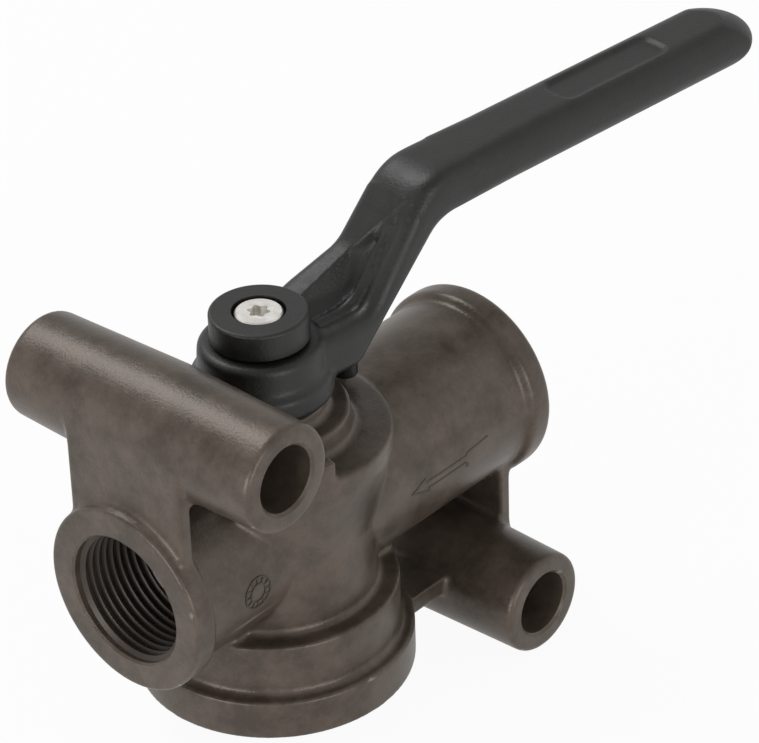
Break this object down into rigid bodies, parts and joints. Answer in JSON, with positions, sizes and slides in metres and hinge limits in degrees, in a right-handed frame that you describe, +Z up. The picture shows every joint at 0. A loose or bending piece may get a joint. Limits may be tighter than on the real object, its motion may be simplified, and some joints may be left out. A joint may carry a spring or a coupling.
{
  "type": "lever-operated shut-off cock",
  "caption": "Shut-off cock for compressed air: cast body with threaded ports in line, cross tubes for fixing bolts, and a cranked lever that turns the plug between open and closed stops.",
  "frame": {"origin": "On the spindle's axis, in the plane of the housing's bottom rim, where the vent outlet opens", "axes": "+X along the ports from inlet to outlet, +Z up the spindle to the lever, +Y along the fixing bolts away from the viewer"},
  "size_m": [0.141, 0.052, 0.089],
  "materials": {
    "cast_body": "hard-anodised die-cast aluminium, brown-grey, semi-gloss",
    "plug_metal": "hard-anodised, turned",
    "cover_metal": "hard-anodised, turned",
    "spring_steel": "oiled spring steel",
    "spindle_steel": "turned stainless steel",
    "peg_steel": "black-oxide steel",
    "screw_steel": "bright stainless steel",
    "lever_plastic": "black glass-filled nylon, satin",
    "seat_plastic": "white low-friction plastic",
    "seal_rubber": "nitrile rubber"
  },
  "bodies": {
    "body": {"housing": "cast_body", "base_ring": "cast_body", "inlet_port": "cast_body", "outlet_tube": "cast_body", "outlet_port": "cast_body", "fixing_tube_upper": "cast_body", "fixing_tube_lower": "cast_body", "web_upper": "cast_body", "web_lower": "cast_body", "web_floor": "cast_body", "port_seat_inlet": "seat_plastic", "port_seat_outlet": "seat_plastic", "slide_washer": "seat_plastic", "disc_spring_lower": "spring_steel", "disc_spring_upper": "spring_steel", "bottom_cover": "cover_metal", "cover_seal": "seal_rubber", "snap_ring": "spring_steel", "vent_flap": "seal_rubber", "spindle_bush": "seat_plastic", "thrust_washer": "seat_plastic", "dust_seal": "seal_rubber"},
    "rotor": {"lever": "lever_plastic", "lever_cap": "lever_plastic", "lever_screw": "screw_steel", "stop_peg": "peg_steel", "spindle": "spindle_steel", "spindle_seal": "seal_rubber", "plug": "plug_metal", "plug_seal_lower": "seal_rubber", "plug_seal_upper": "seal_rubber"}
  },
  "joints": [
    {"name": "lever_turn", "type": "hinge", "parent": "body", "child": "rotor", "pos_m": [0, 0, 0], "axis": [0, 0, 1], "range_deg": [-90, 0]}
  ]
}
